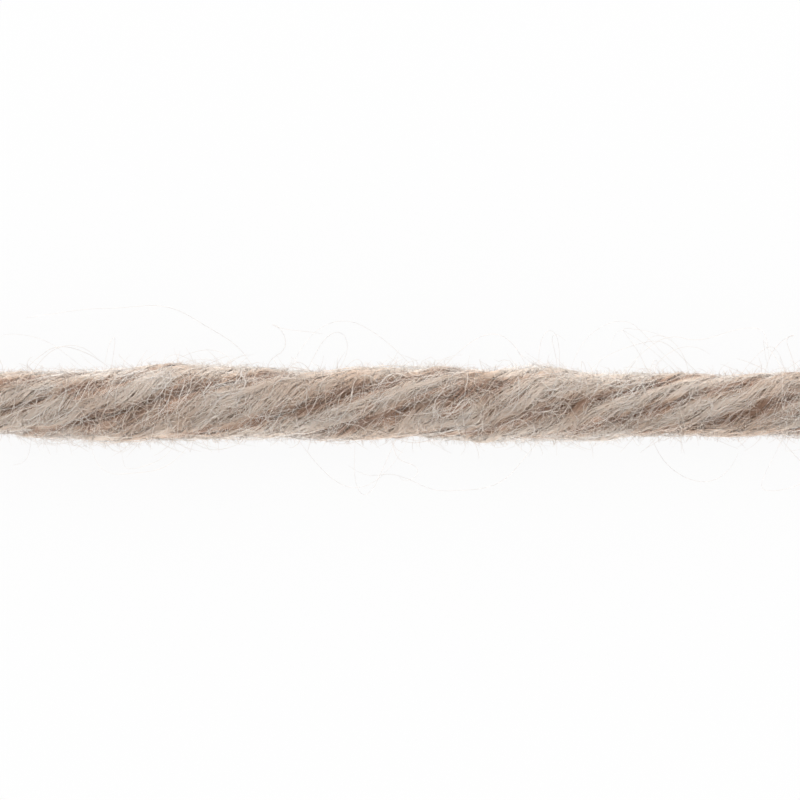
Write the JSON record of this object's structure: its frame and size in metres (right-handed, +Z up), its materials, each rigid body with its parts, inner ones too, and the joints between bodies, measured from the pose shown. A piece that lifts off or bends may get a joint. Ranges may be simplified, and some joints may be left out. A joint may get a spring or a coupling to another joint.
{
  "type": "merino wool yarn",
  "caption": "Short cut length of soft plied merino wool yarn with S twist, thick and thin by turns, lying straight on its flattened underside.",
  "frame": {"origin": "under the middle of the strand, on the surface that it lies on", "axes": "+X along the strand, +Z up out of the surface that it lies on"},
  "size_m": [0.036, 0.0027, 0.0026],
  "materials": {
    "beige_wool": "matte"
  },
  "bodies": {
    "root": {"yarn_strand": "beige_wool"}
  },
  "joints": []
}
